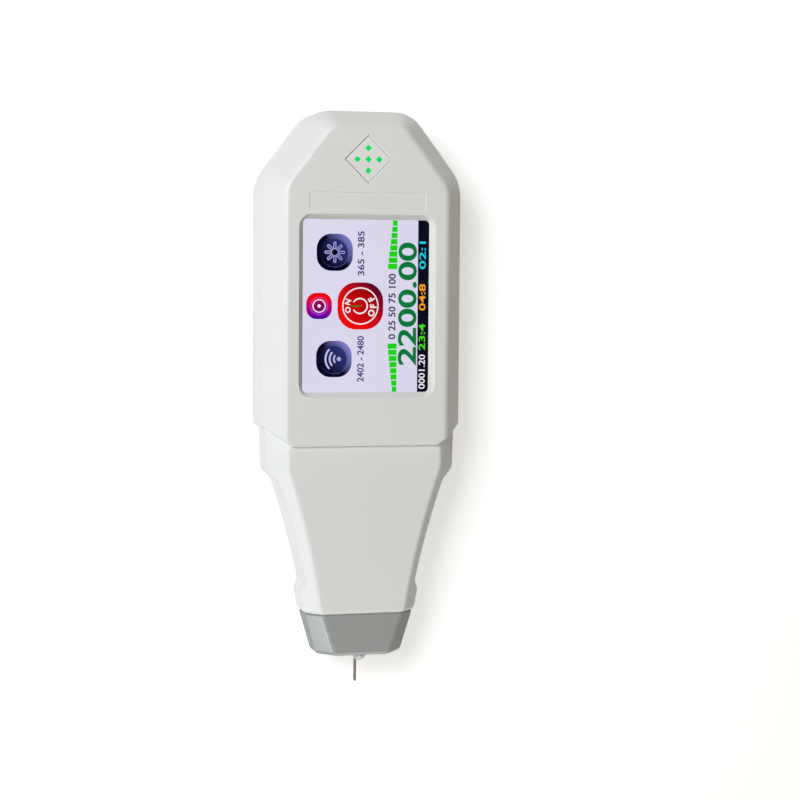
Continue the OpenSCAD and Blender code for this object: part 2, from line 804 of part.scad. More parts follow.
module lcd_tail() {
    start = screen_y - panel_h / 2;
    out = start - 3;
    color([0.75, 0.5, 0.15])
        translate([tail_w / 2, 0, 0])
            rotate([0, -90, 0])
                linear_extrude(tail_w)
                    polygon([[tray_top, start], [tray_top + tail_t, start], [tray_top + tail_t, out],
                        [board_top + tail_t, out], [board_top + tail_t, out - 2.5], [board_top, out - 2.5],
                        [board_top, out + tail_t], [tray_top, out + tail_t]]);
}

module led_window() {
    color([0.93, 0.94, 0.93])
        difference() {
            union() {
                translate([0, window_y, inner_z - window_flange])
                    linear_extrude(front_z - window_sink - inner_z + window_flange)
                        rhombus(window_half);
                translate([0, window_y, inner_z - window_flange])
                    linear_extrude(window_flange)
                        rhombus(window_half + 1.4);
            }
            for (p = lamp_places)
                translate([p[0], window_y + p[1], axis_z])
                    linear_extrude(body_t)
                        rhombus(lamp_half + 0.06);
        }
}

module light_pipes() {
    color([0.1, 0.85, 0.4])
        for (p = lamp_places)
            translate([p[0], window_y + p[1], board_top + lamp_t])
                linear_extrude(front_z - window_sink - board_top - lamp_t)
                    rhombus(lamp_half);
}

module indicator_leds() {
    color([0.85, 0.85, 0.7])
        for (p = lamp_places)
            translate([p[0], window_y + p[1], board_top])
                linear_extrude(lamp_t)
                    rhombus(lamp_half + 0.15);
}

module main_board() {
    foot_x = boss_x - boss_r - board_gap;
    low = step_y + boss_foot + boss_r + board_gap;
    high = upper_boss_y - boss_r - board_gap;
    right = [[foot_x, board_foot], [foot_x, low], [board_half, low], [board_half, high - 2],
        [board_head_x, high - 2], [board_head_x, upper_boss_y + boss_r], [socket_w, board_head]];
    color([0.1, 0.35, 0.2])
        difference() {
            translate([0, 0, board_low])
                linear_extrude(board_t)
                    polygon(concat(right, across(right)));
            for (p = board_places)
                translate([p[0], p[1], board_low - 1])
                    cylinder(r = board_screw_r + 0.15, h = board_t + 2);
        }
}

// A box under the board with its middle at x and at up above the screen's middle
module under_board(x, up, w, l, h) {
    translate([x - w / 2, screen_y + up - l / 2, board_low - h])
        cube([w, l, h]);
}

module board_chips() {
    color([0.12, 0.12, 0.13]) {
        under_board(0.1 * board_half, 0.05 * panel_h, chip_w, chip_w, chip_t);
        under_board(-0.5 * board_half, 0.1 * panel_h, 0.8 * chip_w, 0.6 * chip_w, chip_t);
        under_board(0.6 * board_half, -0.25 * panel_h, 0.5 * chip_w, 0.5 * chip_w, 1.6 * chip_t);
        under_board(0.65 * board_half, -0.1 * panel_h, 0.4 * chip_w, 0.4 * chip_w, chip_t);
    }
}

module shield_can() {
    color([0.75, 0.76, 0.77])
        difference() {
            under_board(-0.45 * board_half, can_up, can_w, can_l, can_t);
            translate([0, 0, can_wall])
                under_board(-0.45 * board_half, can_up, can_w - 2 * can_wall, can_l - 2 * can_wall, can_t);
        }
}

module buzzer() {
    color([0.1, 0.1, 0.1])
        translate([-board_boss_x, screen_y - board_boss_up + board_boss_r + buzzer_r, board_low - buzzer_t])
            difference() {
                cylinder(r = buzzer_r, h = buzzer_t);
                translate([0, 0, -1])
                    cylinder(r = buzzer_r / 6, h = 2);
            }
}

module charging_socket() {
    color([0.75, 0.76, 0.77])
        translate([0, top_y - 0.6, board_low - socket_h / 2])
            rotate([90, 0, 0]) {
                difference() {
                    linear_extrude(socket_l)
                        pill(socket_w, socket_h);
                    translate([0, 0, -1])
                        linear_extrude(socket_l)
                            pill(socket_w - 0.6, socket_h - 0.6);
                }
                translate([-3.35, -0.35, 0.8])
                    cube([6.7, 0.7, socket_l - 1]);
            }
}

module power_switch() {
    color([0.2, 0.2, 0.21])
        difference() {
            translate([switch_face - switch_w, button_y - switch_l / 2, button_z - switch_h / 2])
                cube([switch_w, switch_l, switch_h]);
            translate([switch_face - 1 - 2 * button_travel, button_y - plunger_w / 2 - 0.1,
                button_z - plunger_h / 2 - 0.1])
                cube([3, plunger_w + 0.2, plunger_h + 0.2]);
        }
}

module switch_plunger() {
    color([0.9, 0.9, 0.88])
        translate([switch_face - 1, button_y - plunger_w / 2, button_z - plunger_h / 2])
            cube([plunger_out + 1, plunger_w, plunger_h]);
}

module power_button() {
    inner = head_half - wall - key_gap - key_flange;
    color([0.6, 0.6, 0.58]) {
        translate([inner, button_y, button_z])
            rotate([90, 0, 90]) {
                linear_extrude(head_half - inner)
                    pill(button_l - 2 * key_gap, button_h - 2 * key_gap);
                linear_extrude(key_flange)
                    plate(button_l + 1.6, button_h + 1, 0.8);
            }
        translate([switch_face + plunger_out, button_y - 1.5, button_z - 1.1])
            cube([inner - switch_face - plunger_out + 0.2, 3, 2.2]);
    }
}

module battery() {
    color([0.75, 0.76, 0.78])
        translate([0, battery_y, battery_low])
            linear_extrude(battery_t)
                plate(battery_w, battery_l, 1.5);
}

module battery_pad() {
    color([0.15, 0.15, 0.15])
        translate([-battery_w / 2 + 2, battery_y - battery_l / 2 + 3, wall])
            cube([battery_w - 4, battery_l - 6, pad_t]);
}

module battery_plug() {
    color([0.93, 0.92, 0.86])
        under_board(plug_x, plug_up, plug_w, plug_l, plug_t);
}

module battery_leads() {
    color([0.7, 0.1, 0.1])
        for (x = [plug_x - 0.16 * plug_w, plug_x + 0.16 * plug_w])
            tube([for (i = [0:8]) curve([
                [x, battery_y + battery_l / 2, battery_low + battery_t / 2],
                [x, battery_y + battery_l / 2 + 5, battery_low + battery_t / 2],
                [x, screen_y + plug_up, board_low - plug_t - 5],
                [x, screen_y + plug_up, board_low - plug_t]], i / 8)], lead_r, 8);
}

module probe_pin() {
    color([0.55, 0.5, 0.45])
        translate([0, tip_y, axis_z])
            rotate([-90, 0, 0])
                rotate_extrude()
                    polygon([[0, 0], [0.2, 0], [pin_r, 0.5], [pin_r, plunger_y + 5 - tip_y],
                        [0, plunger_y + 5 - tip_y]]);
}

module probe_plunger() {
    color([0.8, 0.65, 0.3])
        difference() {
            along_y(plunger_y, plunger_l, sleeve_bore_r - run_gap);
            along_y(plunger_y - 1, 6, pin_r);
        }
}

// One unbroken wire of open coils, with a straight end at each end
module probe_spring() {
    steps = 8;
    rise = (spring_l - 2 * wire_r) / coils;
    turns = [for (i = [0:coils * steps]) let (a = 360 * i / steps)
        [coil_r * cos(a), spring_y + wire_r + rise * i / steps, axis_z + coil_r * sin(a)]];
    path = concat([turns[0] + [0, 0, -2 * wire_r]], turns, [turns[coils * steps] + [0, 0, 2 * wire_r]]);
    echo(spring_gap_mm = rise * cos(atan(rise / (2 * PI * coil_r))) - 2 * wire_r);
    color([0.7, 0.7, 0.72])
        tube(path, wire_r, 6);
}

module probe_sleeve() {
    color([0.78, 0.74, 0.6])
        difference() {
            along_y(sleeve_front, sleeve_end - sleeve_front, sleeve_r);
            along_y(sleeve_front + sleeve_lip, sleeve_end - sleeve_front, sleeve_bore_r);
            along_y(sleeve_front - 1, sleeve_lip + 2, pin_r + run_gap);
        }
}

module probe_plug() {
    color([0.85, 0.82, 0.7])
        difference() {
            union() {
                along_y(plug_y, plug_grip, sleeve_bore_r - 0.02);
                along_y(sleeve_end, plug_head_t, sleeve_r);
            }
            along_y(plug_y - 1, plug_grip + 1, lead_r);
        }
}

module probe_bush() {
    color([0.85, 0.82, 0.7])
        difference() {
            union() {
                along_y(cap_y, cap_floor, bush_r);
                along_y(floor_y, flange_t, bush_flange_r);
            }
            along_y(cap_y - 1, cap_floor + flange_t + 2, pin_r + run_gap);
        }
}

module uv_led() {
    color([0.9, 0.93, 0.97, 0.6])
        translate([0, cap_y - torch_out, torch_z])
            rotate([-90, 0, 0])
                rotate_extrude()
                    intersection() {
                        union() {
                            translate([0, torch_r])
                                circle(torch_r);
                            translate([0, torch_r])
                                square([torch_r, torch_out + cap_floor + flange_t - torch_r]);
                            translate([0, torch_out + cap_floor])
                                square([torch_r + 0.25, flange_t]);
                        }
                        square(20);
                    }
}

module tip_board() {
    color([0.1, 0.35, 0.2])
        difference() {
            translate([-tip_board_half, tip_board_y, axis_z - torch_up])
                cube([2 * tip_board_half, tip_board_t, 2 * torch_up + torch_r + 0.2]);
            along_y(tip_board_y - 1, tip_board_t + 2, 3 * pin_r);
        }
}

module probe_lead() {
    color([0.15, 0.15, 0.15])
        tube([for (i = [0:12]) curve([
            [0, sleeve_end + plug_head_t, axis_z],
            [0, sleeve_end + 3.5 * plug_grip, axis_z],
            [lead_x, lead_y, axis_z - lead_dip],
            [lead_x, lead_y, board_low]], i / 12)], lead_r, 8);
}

module tip_lead() {
    color([0.15, 0.15, 0.15])
        tube([for (i = [0:16]) curve([
            [-cradle_half - 1, tip_board_y + tip_board_t, axis_z + 1],
            [-cradle_half - 1, sleeve_end + 6, axis_z + 1],
            [-1.5 * lead_x, lead_y, axis_z - 1.3 * lead_dip],
            [-1.5 * lead_x, lead_y, board_low]], i / 16)], lead_r, 8);
}

// A screw pointing up from z, with a crossed slot in its head
module screw(r, head_r, head_t, length) {
    difference() {
        union() {
            cylinder(r = r, h = length);
            translate([0, 0, -head_t])
                cylinder(r = head_r, h = head_t);
        }
        for (a = [0, 90])
            rotate(a)
                translate([-head_r * 0.65, -head_r * 0.14, -head_t - 1])
                    cube([head_r * 1.3, head_r * 0.28, 1 + head_t * 0.55]);
    }
}

module cover_screws() {
    color([0.6, 0.6, 0.6])
        for (p = boss_places)
            translate([p[0], p[1], screw_seat])
                screw(screw_r, screw_head_r, screw_head_t, axis_z + screw_grip - screw_seat);
}

module board_screws() {
    color([0.6, 0.6, 0.6])
        for (p = board_places)
            translate([p[0], p[1], board_low])
                screw(board_screw_r, board_screw_r + 0.8, 1.2, board_t + board_screw_grip);
}

front_cover();
rear_cover();
tip_cap();
touch_lens();
screen_gasket();
lcd_panel();
lcd_tray();
lcd_tail();
led_window();
light_pipes();
indicator_leds();
main_board();
board_chips();
shield_can();
buzzer();
charging_socket();
power_switch();
switch_plunger();
power_button();
battery();
battery_pad();
battery_plug();
battery_leads();
probe_pin();
probe_plunger();
probe_spring();
probe_sleeve();
probe_plug();
probe_bush();
probe_lead();
uv_led();
tip_board();
tip_lead();
cover_screws();
board_screws();
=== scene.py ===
# %% [markdown]
# # A hand-held gem tester, dressed for a studio picture
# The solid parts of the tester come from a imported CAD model, in metres. It lies on its back, with +Z coming
# out of the screen and +Y running to the top end. This lesson loads that model and dresses it: smooth
# moulded covers, a lit touch screen, lamps, glass and metal. The CAD pieces themselves are never moved.

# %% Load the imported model
import math

import bmesh
import bpy
from mathutils import Matrix, Vector


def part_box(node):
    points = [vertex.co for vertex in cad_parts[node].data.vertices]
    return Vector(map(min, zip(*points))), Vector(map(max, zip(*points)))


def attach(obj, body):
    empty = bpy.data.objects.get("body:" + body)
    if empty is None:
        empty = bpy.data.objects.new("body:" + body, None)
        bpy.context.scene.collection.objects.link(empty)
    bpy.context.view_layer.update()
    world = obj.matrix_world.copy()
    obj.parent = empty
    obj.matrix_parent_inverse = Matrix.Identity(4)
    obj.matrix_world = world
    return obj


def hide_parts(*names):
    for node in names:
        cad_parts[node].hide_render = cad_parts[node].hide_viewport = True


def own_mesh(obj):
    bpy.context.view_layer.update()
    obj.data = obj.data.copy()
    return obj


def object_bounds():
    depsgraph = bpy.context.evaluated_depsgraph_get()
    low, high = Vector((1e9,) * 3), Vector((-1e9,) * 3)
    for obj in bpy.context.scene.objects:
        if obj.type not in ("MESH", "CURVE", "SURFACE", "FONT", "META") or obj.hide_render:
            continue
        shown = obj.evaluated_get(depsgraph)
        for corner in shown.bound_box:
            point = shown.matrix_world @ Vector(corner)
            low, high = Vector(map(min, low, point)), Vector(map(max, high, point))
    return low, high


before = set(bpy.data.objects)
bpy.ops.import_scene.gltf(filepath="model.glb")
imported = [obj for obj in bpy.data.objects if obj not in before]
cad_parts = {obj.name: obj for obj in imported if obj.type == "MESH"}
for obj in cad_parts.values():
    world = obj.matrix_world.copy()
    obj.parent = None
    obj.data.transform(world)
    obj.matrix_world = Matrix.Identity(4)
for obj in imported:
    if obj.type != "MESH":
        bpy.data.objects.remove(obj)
cad_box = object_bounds()
MM = 0.001

# %% [markdown]
# ## Camera
# The photo shows the screen nearly face on, turned a little so that the left side wall shows. The camera
# could be placed by eye, but a least-squares fit to the corners of the screen and the housing gives its
# turn, distance and focal length, so the picture's edges fall where they should.

# %% Camera from the fitted view
TURN_Z, TURN_X, TURN_Y = (math.radians(degrees) for degrees in (-0.457, 3.561, 14.813))
SHIFT_MM = (-9.19, 26.72, -569.86)
FOCAL_PIXELS = 1998.4
PHOTO_PIXELS = 800
screen_low, screen_high = (Vector(corner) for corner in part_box("lcd_panel"))
screen_mid = (screen_low + screen_high) / 2
front_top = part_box("front_cover")[1][2]
look_at = Vector((0, screen_mid.y, front_top))
turn = Matrix.Rotation(TURN_Z, 4, "Z") @ Matrix.Rotation(TURN_X, 4, "X") @ Matrix.Rotation(TURN_Y, 4, "Y")
shift = Matrix.Translation([distance * MM for distance in SHIFT_MM])
to_camera = shift @ turn @ Matrix.Translation(-look_at)
camera_data = bpy.data.cameras.new("photo_camera")
camera_data.sensor_width = 36
camera_data.lens = FOCAL_PIXELS * camera_data.sensor_width / PHOTO_PIXELS
camera_data.clip_start = 0.01
camera = bpy.data.objects.new("photo_camera", camera_data)
bpy.context.collection.objects.link(camera)
camera.matrix_world = to_camera.inverted()
bpy.context.scene.camera = camera
bpy.context.scene.view_settings.view_transform = "Standard"
print("lens", round(camera_data.lens, 1), "mm, camera at", [round(v, 3) for v in camera.location])

# %% [markdown]
# ## Two small helpers for materials
# Colours are written as the hex values that a paint program shows. The renderer works in linear light, so
# one function converts them. Another adds a shader node with its settings, fixed inputs and links.

# %% Colour and node helpers
def linear(hex_code):
    """The linear RGBA of an sRGB hex colour such as "E8EAE8"."""
    channels = [int(hex_code[i:i + 2], 16) / 255 for i in (0, 2, 4)]
    return [c / 12.92 if c <= 0.04045 else ((c + 0.055) / 1.055) ** 2.4 for c in channels] + [1.0]


def add_node(tree, kind, settings=None, fixed=None, links=None):
    """Adds a node: settings are its properties; fixed values and links go to inputs by name or number."""
    node = tree.nodes.new(kind)
    for name, value in (settings or {}).items():
        setattr(node, name, value)
    for name, value in (fixed or {}).items():
        node.inputs[name].default_value = value
    for name, source in (links or {}).items():
        tree.links.new(source, node.inputs[name])
    return node


def start_material(name):
    """An empty node material and its output node."""
    material = bpy.data.materials.new(name)
    material.use_nodes = True
    material.node_tree.nodes.clear()
    return material, material.node_tree, add_node(material.node_tree, "ShaderNodeOutputMaterial")


print("white ABS in linear light:", [round(v, 3) for v in linear("E8EAE8")])

# %% [markdown]
# ## Studio
# A pale floor, a large soft lamp high on the left and an even warm sky. Three weak lamps stand for white
# cards: the left bevels mirror one, the second lightens the faces that look towards the needle's end, and a
# small one close to the tip gives the cap's end its pale edge. The floor adds a little light of its own for
# the camera, for mirrors and for glass, so it reads as white paper and still keeps a shadow. From 0.2 m to
# 0.8 m away the floor fades to plain white, as a curved backdrop does. The sky is white for the same three,
# and weak where it lights a surface.

# %% Floor sheet
FLOOR_REACH = 3
FLOOR_GAP = 0.2 * MM
floor_mesh = bmesh.new()
bmesh.ops.create_grid(floor_mesh, x_segments=1, y_segments=1, size=FLOOR_REACH)
bmesh.ops.translate(floor_mesh, verts=floor_mesh.verts, vec=(0, 0, cad_box[0][2] - FLOOR_GAP))
floor_data = bpy.data.meshes.new("paper_floor")
floor_mesh.to_mesh(floor_data)
floor_mesh.free()
floor = bpy.data.objects.new("paper_floor", floor_data)
bpy.context.collection.objects.link(floor)
print("floor", 2 * FLOOR_REACH, "m wide,", FLOOR_GAP / MM, "mm under the tester")

# %% Floor paper and sky
PAPER_GLOW = 0.55
FADE_FROM, FADE_TO = 0.2, 0.8
SKY_LEVEL = 0.15
WHITE = linear("FFFFFF")


def background_rays(tree):
    """A socket that is 1 for what the camera, a mirror or glass sees, and 0 for light on a surface."""
    path = add_node(tree, "ShaderNodeLightPath")
    seen = path.outputs["Is Camera Ray"]
    for kind in ("Is Glossy Ray", "Is Transmission Ray"):
        either = add_node(tree, "ShaderNodeMath", {"operation": "MAXIMUM"},
                          links={0: seen, 1: path.outputs[kind]})
        seen = either.outputs[0]
    return seen


paper, tree, out = start_material("white background paper")
seen = background_rays(tree)
lift = add_node(tree, "ShaderNodeMath", {"operation": "MULTIPLY"}, fixed={1: PAPER_GLOW}, links={0: seen})
matt = add_node(tree, "ShaderNodeBsdfDiffuse", fixed={"Color": linear("DCDCDC")})
glow = add_node(tree, "ShaderNodeEmission", links={"Strength": lift.outputs[0]})
near = add_node(tree, "ShaderNodeAddShader", links={0: matt.outputs[0], 1: glow.outputs[0]})
far = add_node(tree, "ShaderNodeEmission", fixed={"Color": WHITE, "Strength": 1.0})
place = add_node(tree, "ShaderNodeTexCoord")
reach = add_node(tree, "ShaderNodeVectorMath", {"operation": "LENGTH"},
                 links={"Vector": place.outputs["Object"]})
fade = add_node(tree, "ShaderNodeMapRange", {"interpolation_type": "SMOOTHSTEP"},
                fixed={"From Min": FADE_FROM, "From Max": FADE_TO}, links={"Value": reach.outputs["Value"]})
share = add_node(tree, "ShaderNodeMath", {"operation": "MULTIPLY"}, links={0: fade.outputs["Result"], 1: seen})
mixed = add_node(tree, "ShaderNodeMixShader",
                 links={"Fac": share.outputs[0], 1: near.outputs[0], 2: far.outputs[0]})
tree.links.new(mixed.outputs[0], out.inputs["Surface"])
floor_data.materials.append(paper)

world = bpy.data.worlds.new("studio_sky")
world.use_nodes = True
bpy.context.scene.world = world
tree = world.node_tree
tree.nodes.clear()
sky = add_node(tree, "ShaderNodeBackground", fixed={"Color": linear("FFEFC0"), "Strength": SKY_LEVEL})
backdrop = add_node(tree, "ShaderNodeBackground", fixed={"Color": WHITE, "Strength": 1.0})
pick = add_node(tree, "ShaderNodeMixShader",
                links={"Fac": background_rays(tree), 1: sky.outputs[0], 2: backdrop.outputs[0]})
add_node(tree, "ShaderNodeOutputWorld", links={"Surface": pick.outputs[0]})
print("studio:", paper.name, "and", world.name)

# %% Lamps
def soft_lamp(name, place, aim, size, watts, hex_code):
    """A square lamp that faces a point; place, aim and size are in metres."""
    data = bpy.data.lights.new(name, "AREA")
    data.shape = "SQUARE"
    data.size = size
    data.energy = watts
    data.color = linear(hex_code)[:3]
    lamp = bpy.data.objects.new(name, data)
    bpy.context.collection.objects.link(lamp)
    lamp.location = place
    lamp.rotation_euler = (Vector(aim) - Vector(place)).to_track_quat("-Z", "Y").to_euler()
    return lamp


lamps = [
    soft_lamp("key_lamp", (-0.572, 0.36, 0.872), (0, 0, 0), 0.5, 9.6, "F6F9FF"),
    soft_lamp("left_card", (-0.86, -0.6, 0.1), (0, -0.06, 0.01), 0.17, 1.65, "EAF2FF"),
    soft_lamp("low_card", (-0.25, -0.97, 0.32), (0, 0, 0.01), 0.5, 1.9, "FFFFFF"),
    soft_lamp("tip_card", (0.012, -0.15, 0.035), (0, -0.078, 0.013), 0.05, 0.018, "FFFFFF"),
]
print("lamps:", [lamp.name for lamp in lamps])

# %% [markdown]
# ## Moulded plastic
# The covers are ABS, moulded in a finely spark-eroded tool. That gives a soft satin white: no mirror
# highlights, a faint grain of about a third of a millimetre, and hardly any change of colour. The grain is
# drawn at 0.5 mm, as coarse as it needs to be to show at this distance. The same recipe, with other colours
# and coarser or finer grain, serves nylon, wire insulation, chip epoxy and foam. The cap and the side key wear
# a silver lacquer: flakes of metal in it mirror a little, so that each facet has a tone of its own.

# %% Moulded materials
def moulded(name, hex_code, hex_shade, roughness, grain_mm=0.5, relief_mm=0.02, ior=1.53, mirror=0.5,
            flakes=0):
    """A moulded plastic with slow changes of tone and gloss and a fine grain; a lacquer has metal flakes."""
    material, tree, out = start_material(name)
    place = add_node(tree, "ShaderNodeTexCoord")
    slow = add_node(tree, "ShaderNodeTexNoise", fixed={"Scale": 1 / (18 * MM), "Detail": 3.0},
                    links={"Vector": place.outputs["Object"]})
    tone = add_node(tree, "ShaderNodeMix", {"data_type": "RGBA"},
                    fixed={"A": linear(hex_code), "B": linear(hex_shade)},
                    links={"Factor": slow.outputs["Fac"]})
    grain = add_node(tree, "ShaderNodeTexNoise", fixed={"Scale": 1 / (grain_mm * MM), "Detail": 2.0},
                     links={"Vector": place.outputs["Object"]})
    gloss = add_node(tree, "ShaderNodeMapRange", fixed={"To Min": roughness - 0.05, "To Max": roughness + 0.05},
                     links={"Value": slow.outputs["Fac"]})
    bump = add_node(tree, "ShaderNodeBump", fixed={"Strength": 0.12, "Distance": relief_mm * MM},
                    links={"Height": grain.outputs["Fac"]})
    shader = add_node(tree, "ShaderNodeBsdfPrincipled",
                      fixed={"IOR": ior, "Specular IOR Level": mirror, "Metallic": flakes},
                      links={"Base Color": tone.outputs["Result"], "Roughness": gloss.outputs["Result"],
                             "Normal": bump.outputs["Normal"]})
    tree.links.new(shader.outputs["BSDF"], out.inputs["Surface"])
    return material


white_abs = moulded("satin white ABS", "E8EAE8", "E4E6E4", 0.42)
silver_lacquer = moulded("silver lacquer on ABS", "A1A3A1", "9B9D9B", 0.3, relief_mm=0.008, mirror=0.0,
                         flakes=0.25)
black_abs = moulded("black ABS", "1C1C1D", "232324", 0.45)
opal_acrylic = moulded("opal acrylic", "EEEFEC", "E9EAE7", 0.34, relief_mm=0.005, ior=1.49)
natural_nylon = moulded("natural nylon", "E6DFC6", "DCD3B6", 0.4)
chip_epoxy = moulded("black moulding epoxy", "17171A", "202024", 0.5, grain_mm=0.25, relief_mm=0.03)
red_pvc = moulded("red PVC insulation", "A81414", "961010", 0.35, relief_mm=0.01)
black_pvc = moulded("black PVC insulation", "161616", "1E1E1E", 0.35, relief_mm=0.01)
black_foam = moulded("black foam", "121212", "1C1C1C", 0.9, grain_mm=0.35, relief_mm=0.3)
lamp_silicone = moulded("phosphor silicone", "E8D98A", "DCC96C", 0.4, relief_mm=0.01, ior=1.41)
print("moulded:", white_abs.name, silver_lacquer.name, opal_acrylic.name)

# %% [markdown]
# ## Metals
# Drawn wire, turned brass and rolled sheet all show fine lines along the way they were worked. A noise
# pattern stretched along that way, by a small scale in a Mapping node, gives those lines to the colour, the
# gloss and the surface. Real lines are finer than 0.05 mm, so they are drawn at 0.15 mm to show.

# %% Worked metals
def worked_metal(name, hex_code, hex_shade, roughness, stretch):
    """A metal with working lines that are long where stretch is small."""
    material, tree, out = start_material(name)
    place = add_node(tree, "ShaderNodeTexCoord")
    along = add_node(tree, "ShaderNodeMapping", fixed={"Scale": stretch},
                     links={"Vector": place.outputs["Object"]})
    lines = add_node(tree, "ShaderNodeTexNoise", fixed={"Scale": 1 / (0.15 * MM), "Detail": 3.0},
                     links={"Vector": along.outputs["Vector"]})
    tone = add_node(tree, "ShaderNodeMix", {"data_type": "RGBA"},
                    fixed={"A": linear(hex_code), "B": linear(hex_shade)},
                    links={"Factor": lines.outputs["Fac"]})
    gloss = add_node(tree, "ShaderNodeMapRange", fixed={"To Min": roughness - 0.06, "To Max": roughness + 0.06},
                     links={"Value": lines.outputs["Fac"]})
    bump = add_node(tree, "ShaderNodeBump", fixed={"Strength": 0.1, "Distance": 0.01 * MM},
                    links={"Height": lines.outputs["Fac"]})
    shader = add_node(tree, "ShaderNodeBsdfPrincipled", fixed={"Metallic": 1.0},
                      links={"Base Color": tone.outputs["Result"], "Roughness": gloss.outputs["Result"],
                             "Normal": bump.outputs["Normal"]})
    tree.links.new(shader.outputs["BSDF"], out.inputs["Surface"])
    return material


needle_alloy = worked_metal("drawn needle alloy", "81786F", "6B645D", 0.34, (1, 0.03, 1))
spring_steel = worked_metal("drawn spring steel", "B4B4B6", "96969A", 0.3, (1, 1, 1))
turned_brass = worked_metal("turned brass", "D8B25A", "BF9744", 0.28, (0.05, 1, 0.05))
tinned_steel = worked_metal("rolled tinned steel", "C6C7C9", "B2B3B6", 0.32, (1, 0.04, 1))
screw_steel = worked_metal("zinc-plated steel", "B9BCBE", "A3A6AA", 0.36, (1, 1, 1))
print("metals:", needle_alloy.name, turned_brass.name, tinned_steel.name)

# %% [markdown]
# ## Board, flat cable and battery
# Solder mask is a thin green lacquer over copper tracks, which show through as paler lines: a brick pattern
# with 2.4 mm by 1.2 mm cells gives a believable net of them. The display's flat cable is amber polyimide with
# copper lines 0.5 mm apart. The battery is a pouch of aluminium foil with soft creases.

# %% Lacquered board
board_mask, tree, out = start_material("solder mask on laminate")
place = add_node(tree, "ShaderNodeTexCoord")
tracks = add_node(tree, "ShaderNodeTexBrick",
                  fixed={"Scale": 1 / (2.4 * MM), "Mortar Size": 0.04, "Brick Width": 1.0, "Row Height": 0.5,
                         "Color1": linear("12552F"), "Color2": linear("0F4A28"), "Mortar": linear("2E7D47")},
                  links={"Vector": place.outputs["Object"]})
bump = add_node(tree, "ShaderNodeBump", fixed={"Strength": 0.3, "Distance": 0.03 * MM},
                links={"Height": tracks.outputs["Fac"]})
shader = add_node(tree, "ShaderNodeBsdfPrincipled", fixed={"Roughness": 0.3, "IOR": 1.5},
                  links={"Base Color": tracks.outputs["Color"], "Normal": bump.outputs["Normal"]})
tree.links.new(shader.outputs["BSDF"], out.inputs["Surface"])
print("board:", board_mask.name)

# %% Flat cable and pouch foil
flex_film, tree, out = start_material("polyimide film with copper")
place = add_node(tree, "ShaderNodeTexCoord")
lines = add_node(tree, "ShaderNodeTexWave", {"wave_type": "BANDS", "bands_direction": "X"},
                 fixed={"Scale": math.pi / 10 / (0.5 * MM)}, links={"Vector": place.outputs["Object"]})
tone = add_node(tree, "ShaderNodeMix", {"data_type": "RGBA"},
                fixed={"A": linear("B5711E"), "B": linear("8A5212")},
                links={"Factor": lines.outputs["Fac"]})
shader = add_node(tree, "ShaderNodeBsdfPrincipled", fixed={"Roughness": 0.28, "IOR": 1.7},
                  links={"Base Color": tone.outputs["Result"]})
tree.links.new(shader.outputs["BSDF"], out.inputs["Surface"])

pouch_foil, tree, out = start_material("aluminium pouch foil")
place = add_node(tree, "ShaderNodeTexCoord")
creases = add_node(tree, "ShaderNodeTexVoronoi", {"feature": "SMOOTH_F1"}, fixed={"Scale": 1 / (5 * MM)},
                   links={"Vector": place.outputs["Object"]})
tone = add_node(tree, "ShaderNodeMix", {"data_type": "RGBA"},
                fixed={"A": linear("CDCFD2"), "B": linear("B9BBC0")},
                links={"Factor": creases.outputs["Distance"]})
bump = add_node(tree, "ShaderNodeBump", fixed={"Strength": 0.3, "Distance": 0.2 * MM},
                links={"Height": creases.outputs["Distance"]})
shader = add_node(tree, "ShaderNodeBsdfPrincipled", fixed={"Metallic": 1.0, "Roughness": 0.38},
                  links={"Base Color": tone.outputs["Result"], "Normal": bump.outputs["Normal"]})
tree.links.new(shader.outputs["BSDF"], out.inputs["Surface"])
print("cable and battery:", flex_film.name, pouch_foil.name)

# %% [markdown]
# ## Clear materials
# The touch panel is soda-lime glass and the torch lamp is cast epoxy, a little cloudy so that its beam is
# even. Both let light through, so their colour is nearly white and the gloss does the work. A coating keeps
# the panel from mirroring head on, so that dark parts of the picture stay dark: it is a black tint of what is
# mirrored, which a flat angle still shows. Fingers leave faint smears on a touch panel: its roughness wanders
# between zero and four hundredths in patches of about 9 mm.

# %% Glass and epoxy
def clear_solid(name, hex_code, ior, dullest, patch_mm, clearness=1.0, hex_mirror="FFFFFF"):
    """A clear or cloudy solid whose polish wanders a little; hex_mirror is white without a coating."""
    material, tree, out = start_material(name)
    place = add_node(tree, "ShaderNodeTexCoord")
    smears = add_node(tree, "ShaderNodeTexNoise", fixed={"Scale": 1 / (patch_mm * MM), "Detail": 4.0},
                      links={"Vector": place.outputs["Object"]})
    polish = add_node(tree, "ShaderNodeMapRange", fixed={"To Min": 0.0, "To Max": dullest},
                      links={"Value": smears.outputs["Fac"]})
    shader = add_node(tree, "ShaderNodeBsdfPrincipled",
                      fixed={"Base Color": linear(hex_code), "Transmission Weight": clearness, "IOR": ior,
                             "Specular Tint": linear(hex_mirror)},
                      links={"Roughness": polish.outputs["Result"]})
    tree.links.new(shader.outputs["BSDF"], out.inputs["Surface"])
    return material


panel_glass = clear_solid("coated touch glass", "FBFCFC", 1.52, 0.04, 9, hex_mirror="000000")
lamp_epoxy = clear_solid("cloudy cast epoxy", "ECEBF4", 1.54, 0.12, 2, 0.45)
print("clear:", panel_glass.name, lamp_epoxy.name)

# %% [markdown]
# ## Light from inside
# A display glows by itself, so its colours are emission and hardly change with the lamps in the room. One
# function makes every lit colour: it fades from one hex colour to another along a line on the display, as
# screen icons do, and a slow change of two per cent either way stands for the backlight.

